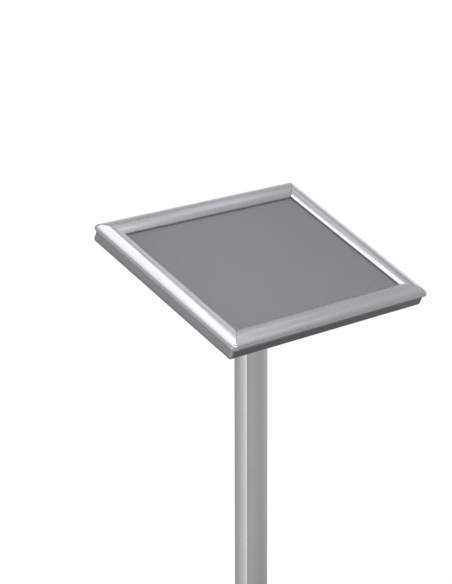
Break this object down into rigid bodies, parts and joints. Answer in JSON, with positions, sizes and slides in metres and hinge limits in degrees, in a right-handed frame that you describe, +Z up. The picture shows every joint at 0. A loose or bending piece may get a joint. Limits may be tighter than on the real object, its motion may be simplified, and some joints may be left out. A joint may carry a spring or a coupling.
{
  "type": "floor sign stand",
  "caption": "Floor-standing sign holder: a tilting, turning snap frame for a landscape A4 sheet on a bowed aluminium pole and flat square base.",
  "frame": {"origin": "on the floor under the centre of the pole and of the base plate", "axes": "+Z up, reader stands at -Y, +X to the reader's right"},
  "size_m": [0.327, 0.29, 1.1301],
  "materials": {
    "coated_steel": "fine-textured silver-grey powder coat",
    "pad_rubber": "moulded matt rubber",
    "plated_steel": "bright zinc plate",
    "anodised_pole": "satin silver anodised, drawn along its length",
    "cast_zinc": "die-cast, grey lacquer",
    "dark_plastic": "plain black acetal",
    "zinc_steel": "zinc-coated sheet",
    "nylon": "natural nylon",
    "rivet_aluminium": "plain aluminium blind rivets",
    "panel_grey": "fine-ribbed grey sheet",
    "clear_sheet": "anti-glare clear film",
    "anodised_profile": "satin silver anodised",
    "spring_steel": "bare spring steel strip",
    "anodised_rail": "satin silver anodised, domed"
  },
  "bodies": {
    "stand": {"base_plate": "coated_steel", "floor_pads": "pad_rubber", "base_screws": "plated_steel", "pole": "anodised_pole", "pole_head": "cast_zinc", "head_screws": "plated_steel"},
    "tilt_head": {"tilt_bracket": "cast_zinc", "tilt_bolt": "plated_steel", "tilt_nut": "plated_steel", "tilt_washers": "plated_steel", "friction_discs": "dark_plastic", "stop_pin": "plated_steel"},
    "display": {"turntable": "zinc_steel", "glide_disc": "nylon", "swivel_bolt": "plated_steel", "swivel_nut": "plated_steel", "swivel_washers": "plated_steel", "turntable_screws": "plated_steel", "back_sheet": "zinc_steel", "back_rivets": "rivet_aluminium", "corner_keys": "cast_zinc", "corner_caps": "anodised_rail", "backing_panel": "panel_grey", "cover_sheet": "clear_sheet", "base_profile_front": "anodised_profile", "base_profile_rear": "anodised_profile", "base_profile_left": "anodised_profile", "base_profile_right": "anodised_profile", "rail_springs_front": "spring_steel", "rail_springs_rear": "spring_steel", "rail_springs_left": "spring_steel", "rail_springs_right": "spring_steel"},
    "rail_front": {"snap_rail_front": "anodised_rail"},
    "rail_rear": {"snap_rail_rear": "anodised_rail"},
    "rail_left": {"snap_rail_left": "anodised_rail"},
    "rail_right": {"snap_rail_right": "anodised_rail"}
  },
  "joints": [
    {"name": "tilt", "type": "hinge", "parent": "stand", "child": "tilt_head", "pos_m": [0, 0, 1.0325], "axis": [1, 0, 0], "range_deg": [-25, 65]},
    {"name": "swivel", "type": "hinge", "parent": "tilt_head", "child": "display", "pos_m": [0, 0, 1.0325], "axis": [0, -0.4226, 0.9063], "range_deg": [0, 90]},
    {"name": "rail_front_open", "type": "hinge", "parent": "display", "child": "rail_front", "pos_m": [0, -0.12673, 1.02791], "axis": [1, 0, 0], "range_deg": [0, 95]},
    {"name": "rail_rear_open", "type": "hinge", "parent": "display", "child": "rail_rear", "pos_m": [0, 0.08498, 1.12663], "axis": [-1, 0, 0], "range_deg": [0, 95]},
    {"name": "rail_left_open", "type": "hinge", "parent": "display", "child": "rail_left", "pos_m": [-0.1603, -0.02088, 1.07727], "axis": [0, -0.9063, -0.4226], "range_deg": [0, 95]},
    {"name": "rail_right_open", "type": "hinge", "parent": "display", "child": "rail_right", "pos_m": [0.1603, -0.02088, 1.07727], "axis": [0, 0.9063, 0.4226], "range_deg": [0, 95]}
  ]
}
